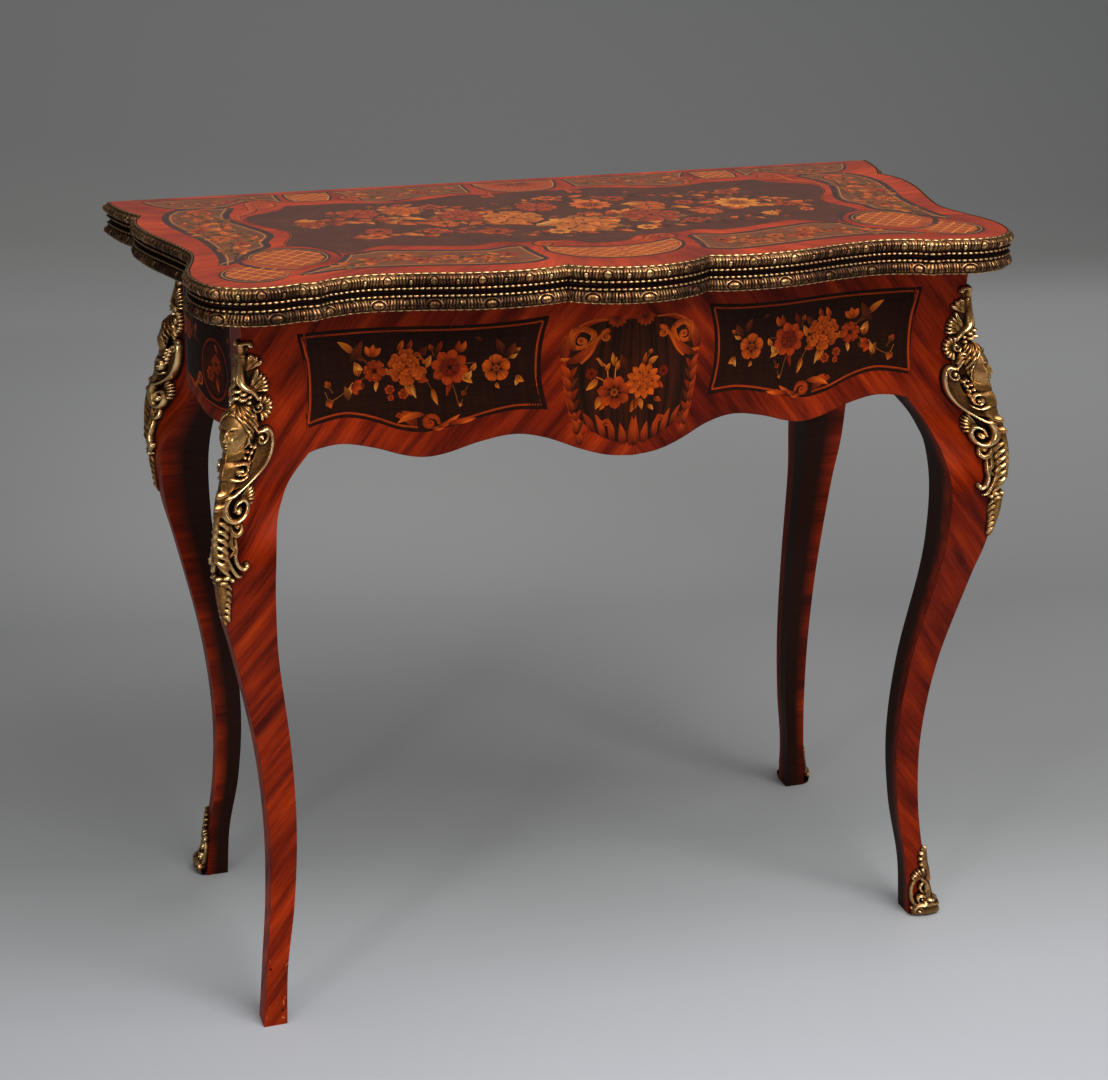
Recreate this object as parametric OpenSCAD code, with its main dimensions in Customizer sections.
// Serpentine card table: a double top turns a quarter on an offset pivot over the card well,
// then the upper leaf folds over on its back edge to make a square baize table.
// Origin: middle of the plan at floor level. +X to the table's right, -Y to its front, +Z up.

/* [Top] */
// Width of each leaf across the wood, without its brass edge
top_w = 861; // [810:1:920]
// Depth of each leaf from the straight back edge to the middle of the front
top_d = 423.5; // [400:0.5:450]
// Height of the closed top above the floor
top_z = 770; // [720:1:800]
// Thickness of each leaf
leaf_t = 17; // [15:0.5:22]
// Gap between the two closed leaves
leaf_gap = 0.4; // [0.3:0.1:1]
// How far the egg band of the brass edge stands out from the wood
edge_proud = 6.8; // [5:0.1:8]
// How far the lip and the bead row of the brass edge stand out
lip_proud = 2.6; // [2:0.1:3.2]
// Width of the veneered border between the brass edge and the baize
border_w = 62; // [50:1:80]
// Thickness of the baize lining
baize_t = 0.9; // [0.6:0.1:1.2]
// Depth of the recess that holds the baize
baize_recess = 1.2; // [1.2:0.1:2]

/* [Frame] */
// How far the leg posts stand in from the sides of the top
side_inset = 63.5; // [55:0.5:75]
// How far the leg posts stand in from the middle of the front
front_inset = 57.5; // [50:0.5:65]
// How far the frame stands in from the back edge of the top
back_inset = 35; // [35:0.5:50]
// Width of each square leg post behind the aprons
post_w = 58; // [50:1:64]
// Least thickness of an apron, from its flat inner face
apron_t = 18; // [15:0.5:24]
// How far the bow in the middle of the front apron swells
front_bow = 31; // [24:1:36]
// How far the hollows beside the bow fall back
front_hollow = 8; // [4:1:10]
// How far the side aprons swell near the back
side_swell = 12; // [6:1:16]
// How far the side aprons fall back near the front
side_hollow = 15; // [8:1:17]
// Depth of the aprons where they meet the legs
apron_h = 133; // [120:1:150]
// How far the middle of the front apron hangs below its ends
front_drop = 22; // [12:1:30]
// How far the middle of each side apron hangs below its ends
side_drop = 14; // [6:1:20]
// How far the lower edge of the back apron rises in the middle
back_rise = 12; // [4:1:20]
// Length of the tenons on the ends of the aprons
tenon_l = 24; // [16:1:30]
// Thickness of the tenons
tenon_t = 8; // [6:0.5:10]
// Thickness of the felt strips that the top turns on
felt_t = 1.7; // [1:0.1:3]
// Width of the felt strips
felt_w = 10; // [8:0.5:14]

/* [Legs] */
// How far the knee swells out from the post, along each side
knee_swell = 34; // [24:1:35]
// How far the ankle falls back behind the post
ankle_hollow = 8; // [4:1:12]
// How far the foot turns out from the post
foot_turn = 8; // [4:1:14]
// Side of the square foot
foot_w = 24; // [20:1:30]
// Side of the leg at its thinnest, just over the foot
ankle_w = 22; // [18:0.5:28]
// Side of the leg at the widest of the knee, below the apron
knee_w = 51; // [44:0.5:58]

/* [Brass mounts] */
// Height of the mask mounts on the knees
chute_h = 260; // [220:1:280]
// How far below the frame's top edge each mask mount starts
chute_drop = 21; // [14:1:30]
// Half width of the mask mounts at their widest, along each face
chute_w = 44; // [36:1:48]
// How far the brow of the mask stands out from the leg
mask_proud = 16; // [12:1:20]
// Height of the foot mounts
sabot_h = 80; // [60:1:90]
// How far the toe scroll of a foot mount stands out from the foot
toe_proud = 15; // [10:1:18]
// Gap between a brass mount and the wood behind it
mount_gap = 0.3; // [0.2:0.05:0.4]

/* [Card well] */
// Depth of the well below the frame's top edge, to its bottom board
well_d = 70.6; // [55:0.1:80]
// Thickness of the well's bottom board
well_board_t = 8; // [6:0.5:10]
// Thickness of the board between the well and the pivot rail
divider_t = 10; // [8:0.5:14]
// Thickness of the felt in the well
lining_t = 1; // [0.6:0.1:2]
// Side of the square battens below the well's bottom board
ledge_w = 12; // [10:0.5:16]
// Side of the square glue blocks beside each leg post
glue_block_w = 20; // [14:1:24]
// Depth of the housings cut in the aprons for the divider and the pivot rail
housing = 5; // [3:0.5:7]

/* [Pivot and hinges] */
// Thickness of the pivot rail
rail_t = 22; // [18:1:28]
// Radius of the pivot bolt
bolt_r = 6; // [5:0.25:7]
// Radius of the pivot bolt's round head, let into the leaf
bolt_head_r = 12; // [10:0.5:14]
// Side of the square plate let into the underside of the lower leaf
leaf_plate_w = 66; // [56:1:80]
// Thickness of the plate let into the lower leaf
leaf_plate_t = 3; // [2:0.5:4]
// Radius of the stop pin under the lower leaf
stop_r = 6; // [5:0.25:7]
// Distance of the stop pin from the pivot, along the rail
stop_reach = 110; // [90:1:130]
// How far the stop pin hangs below the lower leaf
stop_drop = 12; // [9:0.5:15]
// Length of each back edge hinge
hinge_l = 62; // [50:1:70]
// Distance of each hinge's middle from the end of the back edge
hinge_in = 58.5; // [45:0.5:90]
// Radius of the hinge barrels
barrel_r = 2.6; // [2.4:0.1:3]
// Radius of the hinge pins
hinge_pin_r = 1.2; // [1:0.1:1.3]
// Thickness of the hinge plates
hinge_t = 1.5; // [1.2:0.1:2]
// Height of the hinge plates on the edge of each leaf
hinge_h = 13; // [11.5:0.5:14]

/* [Hidden] */

// Running gap between parts that move on each other
run_gap = 0.3;
// Gap of a fitted part in its recess
fit_gap = 0.1;
// Radial gap of a shaft in its bore
bore_gap = 0.05;
// Straight steps in each part of a curve
steps = 3;
// Extra length of shapes that only cut
over = 50;
$fn = 48;

// Heights of the stack, from the top down
play_upper_z = top_z - leaf_t;
play_lower_z = play_upper_z - leaf_gap;
leaf_under_z = play_lower_z - leaf_t;
frame_top = leaf_under_z - run_gap - felt_t;
hinge_axis_z = play_lower_z + leaf_gap / 2;
apron_end_z = frame_top - apron_h;

// Brass mounts are built on rings, at the same heights as the rings of the leg behind them.
// Foot mount rows: share of its height, half width as a share of the foot, thickness over the corner
// as a share of the toe scroll's.
sabot_rows = [[0, 0.9, 0.45], [0.05, 0.94, 0.75], [0.11, 0.95, 1], [0.18, 0.95, 0.93],
    [0.24, 0.92, 0.66], [0.29, 0.84, 0.34], [0.36, 0.7, 0.27], [0.46, 0.54, 0.27],
    [0.58, 0.68, 0.33], [0.7, 0.54, 0.28], [0.83, 0.33, 0.27], [0.93, 0.17, 0.2], [1, 0.06, 0.12]];
// Mask mount rows: distance below its top as a share of its height, half width as a share of the
// widest, thickness over the corner as a share of the mask's.
chute_rows = [[0, 0.16, 0.38], [0.03, 0.22, 0.45], [0.065, 0.36, 0.45], [0.108, 0.55, 0.45],
    [0.146, 0.73, 0.5], [0.185, 0.82, 0.7], [0.22, 0.91, 0.66], [0.258, 0.76, 0.82],
    [0.296, 0.68, 1], [0.335, 0.72, 0.84], [0.369, 0.95, 0.7], [0.408, 1, 0.82],
    [0.446, 0.93, 0.8], [0.477, 0.65, 0.62], [0.508, 0.68, 0.8], [0.54, 0.75, 0.94],
    [0.577, 0.68, 0.82], [0.623, 0.43, 0.68], [0.67, 0.38, 0.7], [0.715, 0.46, 0.7],
    [0.754, 0.61, 0.7], [0.785, 0.45, 0.64], [0.81, 0.32, 0.76], [0.854, 0.3, 0.5],
    [0.908, 0.25, 0.42], [0.958, 0.14, 0.26], [1, 0.05, 0.12]];
chute_rings = 28;
shin_rings = 13;
chute_top = frame_top - chute_drop;
chute_low = chute_top - chute_h;
leg_z = concat([for (r = sabot_rows) r[0] * sabot_h],
    [for (i = [1 : shin_rings - 1]) mix(sabot_h, chute_low, i / shin_rings)],
    [for (i = [0 : chute_rings]) mix(chute_low, chute_top, i / chute_rings)], [frame_top]);

// The leg's curve. Each row: height as a share of the frame's, outward swell of the corner
swell_keys = [[0, foot_turn], [0.082, 0.3 * foot_turn - 0.05 * ankle_hollow],
    [0.177, -0.75 * ankle_hollow], [0.286, -ankle_hollow], [0.409, 0], [0.545, 0.56 * knee_swell],
    [0.613, 0.88 * knee_swell], [0.682, knee_swell], [0.736, 0.97 * knee_swell],
    [0.777, 0.82 * knee_swell], [0.818, 0.5 * knee_swell], [0.886, 0.17 * knee_swell],
    [0.941, 0], [1, 0]];
// Each row: height as a share of the frame's, side of the leg
thick_keys = [[0, foot_w], [0.082, ankle_w], [0.177, mix(ankle_w, knee_w, 0.1)],
    [0.286, mix(ankle_w, knee_w, 0.21)], [0.409, mix(ankle_w, knee_w, 0.345)],
    [0.545, mix(ankle_w, knee_w, 0.586)], [0.613, mix(ankle_w, knee_w, 0.845)], [0.682, knee_w]];
// The inner faces then run out to the post's width below the apron. Each row: distance below the
// apron's end as a share of the spandrel's height, share of the way out
spandrel_keys = [[0.6, 0.134], [0.4, 0.317], [0.25, 0.512], [0.1, 0.793], [0, 1]];
spandrel_h = apron_end_z - 0.682 * frame_top;
knee_in = knee_w - knee_swell;
swell_table = curve([for (q = swell_keys) [q[0] * frame_top, q[1]]], 5);
inner_table = curve(concat(
    [for (q = thick_keys) [q[0] * frame_top, q[1] - lookup(q[0] * frame_top, swell_table)]],
    [for (q = spandrel_keys) [apron_end_z - q[0] * spandrel_h, mix(knee_in, post_w, q[1])]]), 5);
leg_swell = [for (z = leg_z) [z, lookup(z, swell_table)]];
leg_inner = [for (z = leg_z) [z, min(post_w, lookup(z, inner_table))]];
// How far the outer faces have drawn level with the aprons at their inner side, 0 to 1
faired_by = 0.9;
function faired(z) = let (t = 1 + (z - apron_end_z) / spandrel_h,
    c = min(1, max(0, t / faired_by))) c * c * (3 - 2 * c);
fair_table = [for (z = leg_z) [z, faired(z)]];
fair_stops = [0, 1 / 3, 2 / 3, 1];
fair_curve = [for (u = fair_stops) [u, pow(u, 1.5)]];
// Outward place of an outer face at height z, at the share u of its width from the inner side
function face_out(z, u) = lookup(z, leg_swell)
    * mix(1, lookup(u, fair_curve), lookup(z, fair_table));
function face_in(z) = -lookup(z, leg_inner);
function face_at(z, u) = mix(face_in(z), lookup(z, leg_swell), u);

// Places across a mount from edge to edge, as shares of its half width
mount_across = [-1, -0.8, -0.4, 0, 0.4, 0.8, 1];
// Angle at which the mount's rounded front runs out at its edges
edge_angle = 80;
// Distance from the corner within which the mount stands out slantwise
corner_round = 8;
thinnest = 0.8;

// Point on or over the leg's outer corner: s is how far along the faces, its sign says which face,
// out is how far off the wood
function over_leg(z, s, out) =
    let (w = lookup(z, leg_swell) - face_in(z), u = max(0, 1 - abs(s) / w),
        a = face_at(z, u), b = face_out(z, u),
        turn = 45 * (1 - min(1, abs(s) / corner_round)),
        along = a + out * sin(turn), off = b + out * cos(turn))
    s < 0 ? [off, along, z] : [along, off, z];
// Ring of a mount: back along the wood, then over its rounded front
function mount_ring(z, half, thick) = concat(
    [for (v = backwards(mount_across)) over_leg(z, v * half, mount_gap)],
    [for (v = mount_across)
        over_leg(z, v * half, mount_gap + max(thinnest, thick * cos(edge_angle * v)))]);

chute_widths = [for (r = chute_rows) [r[0], r[1] * chute_w]];
chute_depths = [for (r = chute_rows) [r[0], r[2] * mask_proud]];
chute_ring_list = [for (i = [chute_rings : -1 : 0]) let (t = i / chute_rings)
    mount_ring(chute_top - t * chute_h, lookup(t, chute_widths), lookup(t, chute_depths))];

// Places in plan. The knee mounts or the hinges reach furthest back, the brass edge furthest forward.
hinge_axis_out = 0.3;
knee_reach = max([for (ring = chute_ring_list) for (q = ring) q[1]]);
back_reach = max(hinge_axis_out + barrel_r, knee_reach - back_inset);
back_y = (top_d + edge_proud + fit_gap - back_reach) / 2;
post_x = top_w / 2 - side_inset;
post_front_y = back_y - top_d + front_inset;
post_back_y = back_y - back_inset;
frame_mid_y = (post_front_y + post_back_y) / 2;
inner_x = post_x - post_w;
inner_front_y = post_front_y + front_hollow + apron_t;
inner_back_y = post_back_y - apron_t;
inner_side_x = post_x - side_hollow - apron_t;

// The pivot lies where a quarter turn brings the opened square top over the frame's middle
pivot_x = (back_y - frame_mid_y) / 2;
pivot_y = (back_y + frame_mid_y) / 2;
stop_side = inner_back_y - pivot_y - stop_r - run_gap;
rail_half = stop_side - stop_r - run_gap;

function last(v) = v[len(v) - 1];
function flat(v) = [for (row = v) each row];
function backwards(v) = [for (i = [len(v) - 1 : -1 : 0]) v[i]];
function mix(a, b, t) = a + (b - a) * t;

// One point of the smooth curve between b and c, with a before and d after
function on_curve(a, b, c, d, t) =
    0.5 * (2 * b + (c - a) * t + (2 * a - 5 * b + 4 * c - d) * t * t
    + (3 * b - a - 3 * c + d) * t * t * t);

// Smooth curve through key points, with n straight steps between each pair
function curve(p, n) = concat(
    [for (i = [0 : len(p) - 2]) for (k = [0 : n - 1])
        on_curve(i == 0 ? 2 * p[0] - p[1] : p[i - 1], p[i], p[i + 1],
            i == len(p) - 2 ? 2 * p[i + 1] - p[i] : p[i + 2], k / n)],
    [last(p)]);

// Outline of a leaf's right half, from the front middle to the back corner, in five stretches.
// Each key point: share of half the width, share of the depth from the back edge.
bow_keys = [[0, 1], [0.0418, 0.9965], [0.0883, 0.9847], [0.1301, 0.9646], [0.1603, 0.941]];
wave_keys = [[0.1603, 0.941], [0.2091, 0.954], [0.2741, 0.9599], [0.3717, 0.9516],
    [0.4832, 0.9244], [0.5923, 0.9091], [0.6736, 0.9244], [0.7108, 0.9457], [0.741, 0.9445]];
lobe_keys = [[0.741, 0.9445], [0.8014, 0.9587], [0.8641, 0.9516], [0.9129, 0.9185],
    [0.9338, 0.8689], [0.9408, 0.8146], [0.935, 0.7603]];
flank_keys = [[0.935, 0.7603], [0.9152, 0.6895], [0.9036, 0.6234], [0.9094, 0.5667],
    [0.9338, 0.4723], [0.9593, 0.3778], [0.9721, 0.2928], [0.9675, 0.2314], [0.9501, 0.1842]];
horn_keys = [[0.9501, 0.1842], [0.9779, 0.1181], [0.9942, 0.0472], [1, 0]];
function to_top(p) = [for (q = p) [q[0] * top_w / 2, back_y - q[1] * top_d]];
function mirrored(p) = [for (q = backwards(p)) [-q[0], q[1]]];
half_stretches = [for (k = [bow_keys, wave_keys, lobe_keys, flank_keys, horn_keys])
    curve(to_top(k), steps)];
// The whole run of the edge from the left back corner round the front to the right one
stretches = concat(
    [for (i = [4 : -1 : 1]) mirrored(half_stretches[i])],
    [concat(mirrored(half_stretches[0]), [for (i = [1 : len(half_stretches[0]) - 1])
        half_stretches[0][i]])],
    [for (i = [1 : 4]) half_stretches[i]]);
edge_line = concat([stretches[0][0]],
    flat([for (s = stretches) [for (i = [1 : len(s) - 1]) s[i]]]));
stretch_ends = [for (i = [0 : len(stretches)]) i == 0 ? 0 : sum_len(i - 1)];
function sum_len(i) = i < 0 ? 0 : len(stretches[i]) - 1 + sum_len(i - 1);

// Outward direction of a segment of the edge, and the mitre direction at each of its points
function outward(a, b) = [b[1] - a[1], a[0] - b[0]] / norm(b - a);
function mitre(p, i) =
    i == 0 ? [1 / outward(p[0], p[1])[0], 0]
    : i == len(p) - 1 ? [1 / outward(p[i - 1], p[i])[0], 0]
    : let (m = outward(p[i - 1], p[i]), n = outward(p[i], p[i + 1])) (m + n) / (1 + m * n);
function edge_offset(d) = [for (i = [0 : len(edge_line) - 1])
    edge_line[i] + mitre(edge_line, i) * d];

// Section of the brass edge: distance out from the wood and height above the playing face
edge_section = [[0, 0], [0, leaf_t], [lip_proud, leaf_t], [lip_proud - 0.4, leaf_t - 1.8],
    [edge_proud - 0.7, leaf_t * 0.77], [edge_proud, leaf_t * 0.58], [lip_proud - 0.8, leaf_t * 0.27],
    [lip_proud + 1.2, leaf_t * 0.14], [lip_proud - 0.2, 0]];

// Solid through a stack of rings, each a list of points that turns anticlockwise seen from the end.
// Each four-sided cell is split along the diagonal that lies deeper in the solid. Paired ends are
// closed by joining the ring's first and last points, then the next two, and so on
module skin(rings, paired = false) {
    n = len(rings[0]);
    m = len(rings);
    sides = [for (j = [0 : m - 2]) for (i = [0 : n - 1])
        let (k = (i + 1) % n, p = rings[j][i], q = rings[j][k], r = rings[j + 1][k],
            t = rings[j + 1][i], a = j * n + i, b = j * n + k)
        each cross(t - q, r - p) * (p + r - q - t) > 0
            ? [[a, a + n, b + n], [a, b + n, b]] : [[a, a + n, b], [b, a + n, b + n]]];
    pairs = [for (i = [0 : n / 2 - 2]) let (j = n - 1 - i) each [[i, i + 1, j - 1], [i, j - 1, j]]];
    start = paired ? pairs : [[for (i = [0 : n - 1]) i]];
    end = [for (face = start) [for (i = backwards(face)) (m - 1) * n + i]];
    polyhedron(flat(rings), concat(sides, start, end));
}

// Leg at its post's outer corner, outwards along +X and +Y
module leg_solid() {
    stops = backwards(fair_stops);
    skin([for (z = leg_z) concat(
        [for (u = stops) [face_at(z, u), face_out(z, u), z]],
        [[face_in(z), face_in(z), z]],
        [for (i = [len(stops) - 1 : -1 : 1])
            [face_out(z, stops[i]), face_at(z, stops[i]), z]])], paired = true);
}

// Tenon heights, clear of the apron's edges, and their place behind the outer faces
tenon_rise = 42;
tenon_fall = 14;
tenon_low = apron_end_z + tenon_rise;
tenon_high = frame_top - tenon_fall;
tenon_back = apron_t / 2 + tenon_t / 2;

tenon_root = 1;
module tenon(len_x, gap) {
    translate([-tenon_root, -tenon_back - gap, tenon_low - gap])
        cube([len_x + tenon_root, tenon_t + 2 * gap, tenon_high - tenon_low + 2 * gap]);
}

// Mortises of a leg post at its outer corner: one for each of the two aprons that it takes
module mortises() {
    translate([-post_w, 0, 0]) tenon(tenon_l, fit_gap);
    mirror([1, -1, 0]) translate([-post_w, 0, 0]) tenon(tenon_l, fit_gap);
}

module at_corner(side, end) {
    translate([side * post_x, end < 0 ? post_front_y : post_back_y, 0])
        scale_sign(side, end) children();
}

// Turns a shape that is drawn outwards along +X and +Y to the corner named by the two signs
module scale_sign(side, end) {
    mirror([side < 0 ? 1 : 0, 0, 0]) mirror([0, end < 0 ? 1 : 0, 0]) children();
}

module leg(side, end) {
    color("#7d2c14") at_corner(side, end) difference() {
        leg_solid();
        mortises();
    }
}
module front_left_leg() { leg(-1, -1); }
module front_right_leg() { leg(1, -1); }
module back_left_leg() { leg(-1, 1); }
module back_right_leg() { leg(1, 1); }

// Plan of the front apron's face: the bow in the middle, a hollow on each side, flush with the posts
front_face_keys = [[-inner_x, 0], [-0.93 * inner_x, 0.6 * front_hollow],
    [-0.8 * inner_x, front_hollow], [-0.66 * inner_x, 0.65 * front_hollow],
    [-0.52 * inner_x, -0.08 * front_bow], [-0.38 * inner_x, -0.32 * front_bow],
    [-0.265 * inner_x, -0.5 * front_bow], [-0.13 * inner_x, -0.87 * front_bow],
    [0, -front_bow]];
front_half = curve(front_face_keys, 4);
front_face = concat(front_half, [for (i = [len(front_half) - 2 : -1 : 0])
    [-front_half[i][0], front_half[i][1]]]);
// Lower edge of the front apron: the drop in the middle and one on each side, from its ends
front_low_keys = [[-inner_x, 0], [-0.96 * inner_x, 0.12 * front_drop],
    [-0.885 * inner_x, 0.16 * front_drop], [-0.79 * inner_x, -0.16 * front_drop],
    [-0.7 * inner_x, -0.58 * front_drop], [-0.635 * inner_x, -0.72 * front_drop],
    [-0.57 * inner_x, -0.58 * front_drop], [-0.47 * inner_x, -0.12 * front_drop],
    [-0.365 * inner_x, 0.16 * front_drop], [-0.27 * inner_x, -0.05 * front_drop],
    [-0.17 * inner_x, -0.55 * front_drop], [-0.08 * inner_x, -0.9 * front_drop],
    [0, -front_drop]];
front_low_half = curve(front_low_keys, 3);
front_low = concat(front_low_half, [for (i = [len(front_low_half) - 2 : -1 : 0])
    [-front_low_half[i][0], front_low_half[i][1]]]);

// Board with a shaped face in plan and a shaped lower edge, its flat inner face at y = back
module shaped_board(face, low, back, top) {
    from = face[0][0];
    to = last(face)[0];
    intersection() {
        translate([0, 0, apron_end_z - over]) linear_extrude(height = top - apron_end_z + over)
            polygon(concat(face, [[to, back], [from, back]]));
        translate([0, back + over, 0]) rotate([90, 0, 0]) linear_extrude(height = back + 2 * over)
            polygon(concat([for (q = low) [q[0], apron_end_z + q[1]]], [[to, top], [from, top]]));
    }
}

// Divider and rail housings, cut in the inner faces of the front and back aprons
divider_in = 1.8;
divider_x = -divider_in - divider_t;
divider_low = frame_top - well_d - well_board_t - ledge_w;
housed_l = inner_back_y - inner_front_y + 2 * housing;
module housings() {
    translate([divider_x - fit_gap, inner_front_y - housing - fit_gap, divider_low])
        cube([divider_t + 2 * fit_gap, housed_l + 2 * fit_gap, frame_top - divider_low + 1]);
    translate([pivot_x - rail_half - fit_gap, inner_front_y - housing - fit_gap, frame_top - rail_t])
        cube([2 * (rail_half + fit_gap), housed_l + 2 * fit_gap, rail_t + 1]);
}

module front_apron() {
    color("#8a3114") difference() {
        union() {
            translate([0, post_front_y, 0])
                shaped_board(front_face, front_low, inner_front_y - post_front_y, frame_top);
            for (s = [-1, 1]) translate([s * inner_x, post_front_y, 0])
                scale_sign(s, -1) tenon(tenon_l - run_gap, 0);
        }
        housings();
    }
}

back_low_keys = [[-inner_x, 0], [-0.85 * inner_x, 0.67 * back_rise],
    [-0.6 * inner_x, 0.92 * back_rise], [0, back_rise], [0.6 * inner_x, 0.92 * back_rise],
    [0.85 * inner_x, 0.67 * back_rise], [inner_x, 0]];
module back_apron() {
    color("#6f2a13") difference() {
        union() {
            translate([0, post_back_y, 0]) mirror([0, 1, 0])
                shaped_board([[-inner_x, 0], [inner_x, 0]], curve(back_low_keys, 4), apron_t,
                    frame_top);
            for (s = [-1, 1]) translate([s * inner_x, post_back_y, 0])
                scale_sign(s, 1) tenon(tenon_l - run_gap, 0);
        }
        housings();
    }
}

// Plan of a side apron's face from the front post to the back one: hollow, then swell
side_from = post_front_y + post_w;
side_to = post_back_y - post_w;
side_len = side_to - side_from;
side_face_keys = [[0, 0], [0.1 * side_len, 0.62 * side_hollow], [0.22 * side_len, side_hollow],
    [0.36 * side_len, 0.75 * side_hollow], [0.52 * side_len, 0.12 * side_hollow],
    [0.68 * side_len, -0.6 * side_swell], [0.84 * side_len, -side_swell],
    [0.94 * side_len, -0.65 * side_swell], [side_len, 0]];
side_low_keys = [[0, 0], [0.12 * side_len, 0.2 * side_drop], [0.25 * side_len, 0],
    [0.38 * side_len, -0.8 * side_drop], [0.5 * side_len, -side_drop],
    [0.62 * side_len, -0.8 * side_drop], [0.75 * side_len, 0], [0.88 * side_len, 0.2 * side_drop],
    [side_len, 0]];
module side_apron(side) {
    color("#85300f") mirror([side < 0 ? 1 : 0, 0, 0])
        translate([post_x, side_from, 0]) rotate([0, 0, 90]) {
            shaped_board(curve(side_face_keys, 3), curve(side_low_keys, 3), post_x - inner_side_x,
                frame_top);
            translate([side_len, 0, 0]) scale_sign(1, -1) tenon(tenon_l - run_gap, 0);
            scale_sign(-1, -1) tenon(tenon_l - run_gap, 0);
        }
}
module left_apron() { side_apron(-1); }
module right_apron() { side_apron(1); }

// Glue blocks in the angles between the posts and the front and back aprons
block_clear = 1;
block_rise = 16;
block_top = divider_low - block_clear;
block_low = apron_end_z + block_rise;
module glue_blocks() {
    color("#b98a55") for (s = [-1, 1]) {
        translate([s > 0 ? inner_x - glue_block_w : -inner_x, inner_front_y, block_low])
            cube([glue_block_w, glue_block_w, block_top - block_low]);
        translate([s > 0 ? inner_x - glue_block_w : -inner_x, inner_back_y - glue_block_w, block_low])
            cube([glue_block_w, glue_block_w, block_top - block_low]);
    }
}

// Plan of the well's bottom between the aprons, the divider and the two left posts
well_floor = frame_top - well_d;
module well_plan(gap) {
    difference() {
        translate([-inner_side_x + gap, inner_front_y + gap])
            square([divider_x + inner_side_x - 2 * gap, inner_back_y - inner_front_y - 2 * gap]);
        translate([-inner_side_x - 1, inner_front_y - 1])
            square([inner_side_x - inner_x + 1 + gap, side_from - inner_front_y + 1 + gap]);
        translate([-inner_side_x - 1, side_to - gap])
            square([inner_side_x - inner_x + 1 + gap, inner_back_y - side_to + 1 + gap]);
    }
}
module well_bottom() {
    color("#a5733f") translate([0, 0, well_floor - well_board_t])
        linear_extrude(height = well_board_t) well_plan(run_gap);
}
module well_lining() {
    color("#1f5a3a") translate([0, 0, well_floor])
        linear_extrude(height = lining_t) well_plan(2 * run_gap);
}
module well_ledges() {
    color("#b98a55") translate([0, 0, divider_low]) {
        for (y = [inner_front_y, inner_back_y - ledge_w])
            translate([-inner_x + glue_block_w, y, 0])
                cube([inner_x - glue_block_w + divider_x - fit_gap, ledge_w, ledge_w]);
        translate([-inner_side_x, side_from + run_gap, 0])
            cube([ledge_w, side_len - 2 * run_gap, ledge_w]);
    }
}
module well_divider() {
    color("#9a6838") translate([divider_x, inner_front_y - housing, divider_low])
        cube([divider_t, housed_l, frame_top - divider_low]);
}

// Pivot rail with the bore for the bush
bush_wall = 3;
bush_r = bolt_r + bush_wall;
module pivot_rail() {
    color("#9a6838") difference() {
        translate([pivot_x - rail_half, inner_front_y - housing, frame_top - rail_t])
            cube([2 * rail_half, housed_l, rail_t]);
        translate([pivot_x, pivot_y, frame_top - rail_t - 1])
            cylinder(r = bush_r + bore_gap, h = rail_t + 2);
        plate_screws(rail_plate_w, frame_top + felt_t, -1, bore_gap);
    }
}
module pivot_bush() {
    color("#c9a24a") translate([pivot_x, pivot_y, frame_top - rail_t]) difference() {
        cylinder(r = bush_r, h = rail_t);
        translate([0, 0, -1]) cylinder(r = bolt_r + bore_gap, h = rail_t + 2);
    }
}

// Plates of the pivot: one on the rail, one let into the leaf, each with four countersunk screws
rail_plate_in = 4;
rail_plate_w = 2 * (rail_half - rail_plate_in);
screw_r = 1.6;
screw_head_r = 3.2;
screw_head_h = 1.4;
screw_l = 9;
screw_edge = 7;
// Screws at the corners of a square plate whose face is at height z, driven along the sign dir
module plate_screws(w, z, dir, gap) {
    for (sx = [-1, 1]) for (sy = [-1, 1])
        translate([pivot_x + sx * (w / 2 - screw_edge), pivot_y + sy * (w / 2 - screw_edge), z])
            mirror([0, 0, dir < 0 ? 0 : 1])
                one_screw(gap);
}
// Countersunk screw, its flat head at z = 0 and its shank downwards
module one_screw(gap) {
    translate([0, 0, -screw_head_h])
        cylinder(r1 = screw_r + gap, r2 = screw_head_r + gap, h = screw_head_h);
    translate([0, 0, -screw_l - gap])
        cylinder(r = screw_r + gap, h = screw_l + gap - screw_head_h);
}
module rail_plate() {
    color("#c9a24a") difference() {
        translate([pivot_x - rail_plate_w / 2, pivot_y - rail_plate_w / 2, frame_top])
            cube([rail_plate_w, rail_plate_w, felt_t]);
        translate([pivot_x, pivot_y, frame_top - 1]) cylinder(r = bolt_r + run_gap, h = felt_t + 2);
        plate_screws(rail_plate_w, frame_top + felt_t, -1, bore_gap);
    }
}
module rail_plate_screws() {
    color("#b9933f") plate_screws(rail_plate_w, frame_top + felt_t, -1, 0);
}
module leaf_plate() {
    color("#c9a24a") difference() {
        translate([pivot_x - leaf_plate_w / 2, pivot_y - leaf_plate_w / 2, leaf_under_z])
            cube([leaf_plate_w, leaf_plate_w, leaf_plate_t]);
        translate([pivot_x, pivot_y, leaf_under_z - 1])
            cylinder(r = bolt_r + bore_gap, h = leaf_plate_t + 2);
        plate_screws(leaf_plate_w, leaf_under_z, 1, bore_gap);
    }
}
module leaf_plate_screws() {
    color("#b9933f") plate_screws(leaf_plate_w, leaf_under_z, 1, 0);
}

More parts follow.
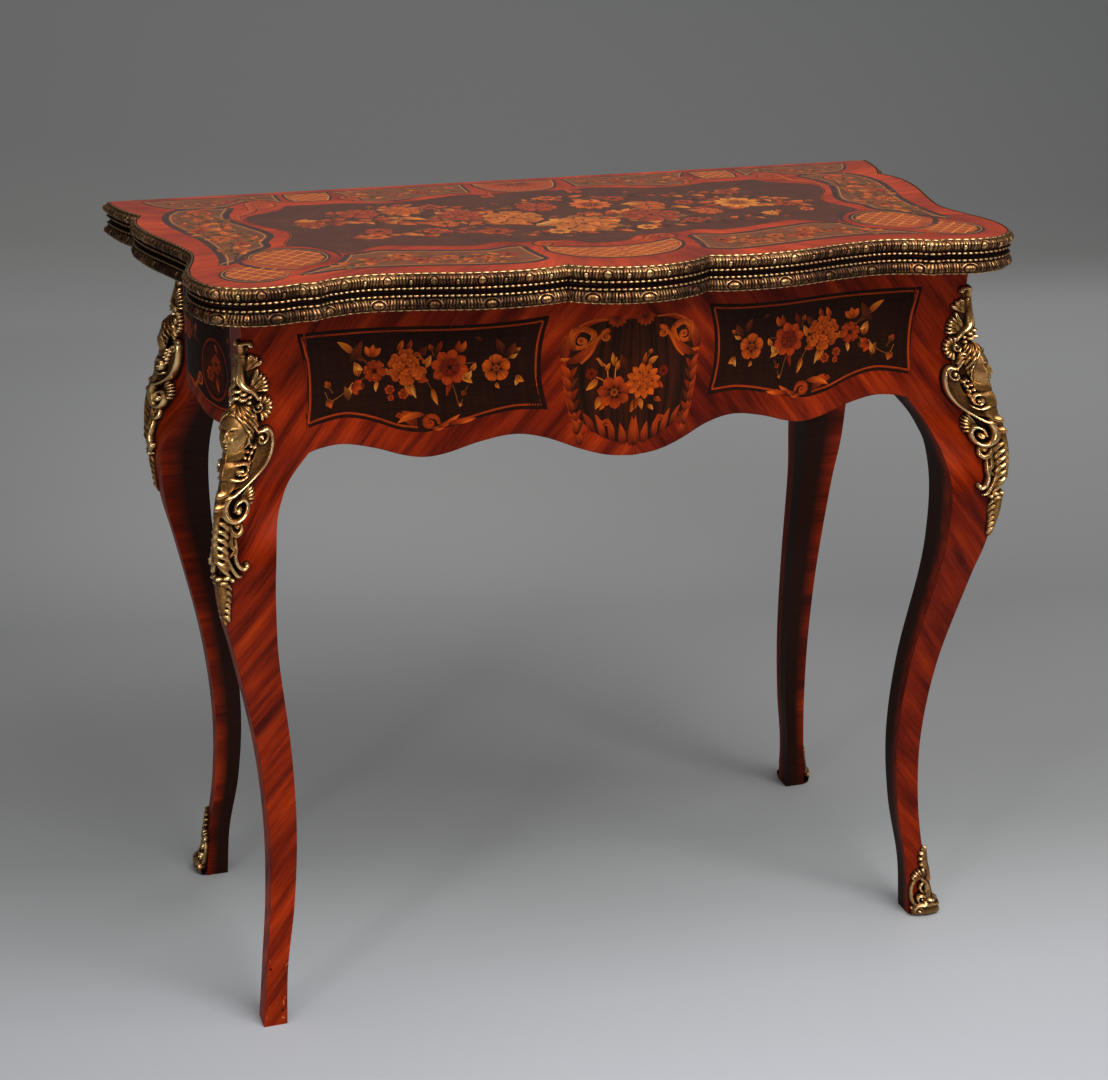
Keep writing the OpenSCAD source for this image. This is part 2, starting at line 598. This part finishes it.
// Bolt, washer and nut turn with the top
bolt_head_t = 4;
washer_r = 14;
washer_t = 2;
nut_t = 9;
nut_r = 10.4;
bolt_end = 3;
washer_top = frame_top - rail_t - run_gap;
module pivot_bolt() {
    low = washer_top - washer_t - nut_t - bolt_end;
    color("#a8a29a") translate([pivot_x, pivot_y, 0]) {
        translate([0, 0, low]) cylinder(r = bolt_r, h = leaf_under_z + leaf_plate_t - low);
        translate([0, 0, leaf_under_z + leaf_plate_t]) cylinder(r = bolt_head_r, h = bolt_head_t);
    }
}
module pivot_washer() {
    color("#b4afa8") translate([pivot_x, pivot_y, washer_top - washer_t]) difference() {
        cylinder(r = washer_r, h = washer_t);
        translate([0, 0, -1]) cylinder(r = bolt_r + bore_gap, h = washer_t + 2);
    }
}
module pivot_nut() {
    color("#a8a29a") translate([pivot_x, pivot_y, washer_top - washer_t - nut_t]) difference() {
        cylinder(r = nut_r, h = nut_t, $fn = 6);
        translate([0, 0, -1]) cylinder(r = bolt_r + bore_gap, h = nut_t + 2);
    }
}
// The stop pin meets the rail with the top closed, and the back apron after a quarter turn
stop_sunk = 9;
module stop_pin() {
    color("#a8a29a") translate([pivot_x + stop_side, pivot_y - stop_reach, leaf_under_z - stop_drop])
        cylinder(r = stop_r, h = stop_drop + stop_sunk);
}

// Felt strips along the tops of the aprons
felt_in = 3;
module slide_felts() {
    color("#1f5a3a") translate([0, 0, frame_top]) linear_extrude(height = felt_t) {
        for (y = [inner_front_y - felt_w - felt_in, inner_back_y + felt_in])
            translate([-inner_x, y]) square([2 * inner_x, felt_w]);
        for (x = [-inner_side_x - felt_w - felt_in, inner_side_x + felt_in])
            translate([x, side_from]) square([felt_w, side_len]);
    }
}

module chute(side, end) {
    color("#8c6a2c") at_corner(side, end) skin(chute_ring_list, paired = true);
}
module front_left_chute() { chute(-1, -1); }
module front_right_chute() { chute(1, -1); }
module back_left_chute() { chute(-1, 1); }
module back_right_chute() { chute(1, 1); }

module sabot(side, end) {
    color("#7a5c2a") at_corner(side, end)
        skin([for (r = sabot_rows)
            mount_ring(r[0] * sabot_h, r[1] * foot_w, r[2] * toe_proud)], paired = true);
}
module front_right_sabot() { sabot(1, -1); }
module back_left_sabot() { sabot(-1, 1); }
module back_right_sabot() { sabot(1, 1); }

// Baize panel: inside the border, running nearly to the back edge, with quadrant corners cut in
baize_side_in = 16;
baize_back_in = 4;
baize_corner_r = 34;
module baize_plan(gap) {
    w = top_w / 2 - border_w - baize_side_in - gap;
    d = top_d - border_w - gap;
    difference() {
        translate([-w, back_y - d]) square([2 * w, d - baize_back_in - gap]);
        for (s = [-1, 1]) translate([s * w, back_y - d]) circle(r = baize_corner_r + gap);
    }
}

// Hinge knuckles: five along each barrel, three on the lower plate and two on the upper
knuckles = 5;
knuckle_l = hinge_l / knuckles;
knuckle_lap = 0.5;
hinge_screw_step = 19;
hinge_screw_low = 8.6;
barrel_space = barrel_r + run_gap;
module knuckle_row(first, gap) {
    for (i = [first : 2 : knuckles - 1])
        translate([-hinge_l / 2 + i * knuckle_l + gap, 0, 0])
            rotate([0, 90, 0]) cylinder(r = barrel_r, h = knuckle_l - 2 * gap);
}
// Face of a hinge plate, with a tongue up to each of its knuckles
module comb(first) {
    translate([-hinge_l / 2, -hinge_h]) square([hinge_l, hinge_h - barrel_space]);
    for (i = [first : 2 : knuckles - 1])
        translate([-hinge_l / 2 + i * knuckle_l + fit_gap, -barrel_space - knuckle_lap])
            square([knuckle_l - 2 * fit_gap, barrel_space + knuckle_lap - barrel_r / 2]);
}
// Hinge plate below the barrel's axis, the axis along X at the origin, the leaf's edge towards -Y
module hinge_plate(first) {
    difference() {
        union() {
            translate([0, -hinge_axis_out, 0]) rotate([90, 0, 0])
                linear_extrude(height = hinge_t) comb(first);
            knuckle_row(first, fit_gap);
        }
        translate([-hinge_l, 0, 0]) rotate([0, 90, 0])
            cylinder(r = hinge_pin_r + bore_gap, h = 2 * hinge_l);
        hinge_screw_places() one_screw(bore_gap);
    }
}
// Three screws through each plate, their heads in the plate's outer face
module hinge_screw_places() {
    for (i = [-1 : 1]) translate([i * hinge_screw_step, -hinge_axis_out, -hinge_screw_low])
        rotate([-90, 0, 0]) children();
}
// Room for a hinge in the leaf below the barrel's axis
module hinge_room() {
    translate([-hinge_l / 2 - run_gap, 0, 0]) rotate([0, 90, 0])
        cylinder(r = barrel_space, h = hinge_l + 2 * run_gap);
    translate([-hinge_l / 2 - fit_gap, -hinge_axis_out - hinge_t - fit_gap, -hinge_h - fit_gap])
        cube([hinge_l + 2 * fit_gap, hinge_t + 1, hinge_h + fit_gap]);
    hinge_screw_places() one_screw(bore_gap);
}
module at_hinge(side, up) {
    translate([side * (top_w / 2 - hinge_in), back_y + hinge_axis_out, hinge_axis_z])
        mirror([0, 0, up]) children();
}

module lower_leaf() {
    color("#8f3a1c") difference() {
        translate([0, 0, leaf_under_z]) linear_extrude(height = leaf_t) polygon(edge_line);
        translate([0, 0, play_lower_z - baize_recess])
            linear_extrude(height = baize_recess + 1) baize_plan(0);
        translate([pivot_x, pivot_y, leaf_under_z + leaf_plate_t / 2 - 1])
            cube([leaf_plate_w + 2 * fit_gap, leaf_plate_w + 2 * fit_gap, leaf_plate_t + 2],
                center = true);
        translate([pivot_x, pivot_y, leaf_under_z])
            cylinder(r = bolt_head_r + fit_gap, h = leaf_plate_t + bolt_head_t + fit_gap);
        translate([pivot_x + stop_side, pivot_y - stop_reach, leaf_under_z - 1])
            cylinder(r = stop_r + bore_gap, h = stop_sunk + 1);
        plate_screws(leaf_plate_w, leaf_under_z, 1, bore_gap);
        for (s = [-1, 1]) at_hinge(s, 0) hinge_room();
    }
}
module lower_baize() {
    color("#2b6b3f") translate([0, 0, play_lower_z - baize_recess])
        linear_extrude(height = baize_t) baize_plan(fit_gap);
}
module upper_leaf() {
    color("#93391b") difference() {
        translate([0, 0, play_upper_z]) linear_extrude(height = leaf_t) polygon(edge_line);
        translate([0, 0, play_upper_z - 1]) linear_extrude(height = baize_recess + 1) baize_plan(0);
        for (s = [-1, 1]) at_hinge(s, 1) hinge_room();
    }
}
module upper_baize() {
    color("#2b6b3f") translate([0, 0, play_upper_z + baize_recess - baize_t])
        linear_extrude(height = baize_t) baize_plan(fit_gap);
}

// Lengths of the brass edge, mitred where the stretches of the outline meet, with a hairline
// between one length and the next
mitre_gap = 0.1;
function run_way(i) = (edge_line[i + 1] - edge_line[i]) / norm(edge_line[i + 1] - edge_line[i]);
module edge_lengths(from, to, base, up) {
    section = up ? edge_section : backwards([for (q = edge_section) [q[0], -q[1]]]);
    for (k = [from : to]) let (a = stretch_ends[k], b = stretch_ends[k + 1])
        skin([for (i = [a : b])
            let (back = i == a && a > 0 ? run_way(i) * mitre_gap
                : i == b && b < len(edge_line) - 1 ? -run_way(i - 1) * mitre_gap : [0, 0])
            [for (q = section)
                let (p = edge_line[i] + back + mitre(edge_line, i) * (q[0] + fit_gap))
                [p[0], p[1], base + q[1]]]]);
}
brass = "#8a6b33";
module lower_left_moulding() { color(brass) edge_lengths(0, 2, play_lower_z, false); }
module lower_front_moulding() { color(brass) edge_lengths(3, 5, play_lower_z, false); }
module lower_right_moulding() { color(brass) edge_lengths(6, 8, play_lower_z, false); }
module upper_left_moulding() { color(brass) edge_lengths(0, 2, play_upper_z, true); }
module upper_front_moulding() { color(brass) edge_lengths(3, 5, play_upper_z, true); }
module upper_right_moulding() { color(brass) edge_lengths(6, 8, play_upper_z, true); }

hinge_brass = "#c9a24a";
module left_hinge_lower_plate() { color(hinge_brass) at_hinge(-1, 0) hinge_plate(0); }
module right_hinge_lower_plate() { color(hinge_brass) at_hinge(1, 0) hinge_plate(0); }
module left_hinge_upper_plate() { color(hinge_brass) at_hinge(-1, 1) hinge_plate(1); }
module right_hinge_upper_plate() { color(hinge_brass) at_hinge(1, 1) hinge_plate(1); }
module hinge_pin(side) {
    color("#b9933f") at_hinge(side, 0) translate([-hinge_l / 2, 0, 0])
        rotate([0, 90, 0]) cylinder(r = hinge_pin_r, h = hinge_l);
}
module left_hinge_pin() { hinge_pin(-1); }
module right_hinge_pin() { hinge_pin(1); }
module lower_hinge_screws() {
    color("#b9933f") for (s = [-1, 1]) at_hinge(s, 0) hinge_screw_places() one_screw(0);
}
module upper_hinge_screws() {
    color("#b9933f") for (s = [-1, 1]) at_hinge(s, 1) hinge_screw_places() one_screw(0);
}

front_apron();
back_apron();
left_apron();
right_apron();
front_left_leg();
front_right_leg();
back_left_leg();
back_right_leg();
glue_blocks();
well_bottom();
well_lining();
well_ledges();
well_divider();
pivot_rail();
rail_plate();
rail_plate_screws();
pivot_bush();
slide_felts();
front_left_chute();
front_right_chute();
back_left_chute();
back_right_chute();
front_right_sabot();
back_left_sabot();
back_right_sabot();
lower_leaf();
lower_baize();
lower_left_moulding();
lower_front_moulding();
lower_right_moulding();
leaf_plate();
leaf_plate_screws();
pivot_bolt();
pivot_washer();
pivot_nut();
stop_pin();
left_hinge_lower_plate();
right_hinge_lower_plate();
left_hinge_pin();
right_hinge_pin();
lower_hinge_screws();
upper_leaf();
upper_baize();
upper_left_moulding();
upper_front_moulding();
upper_right_moulding();
left_hinge_upper_plate();
right_hinge_upper_plate();
upper_hinge_screws();
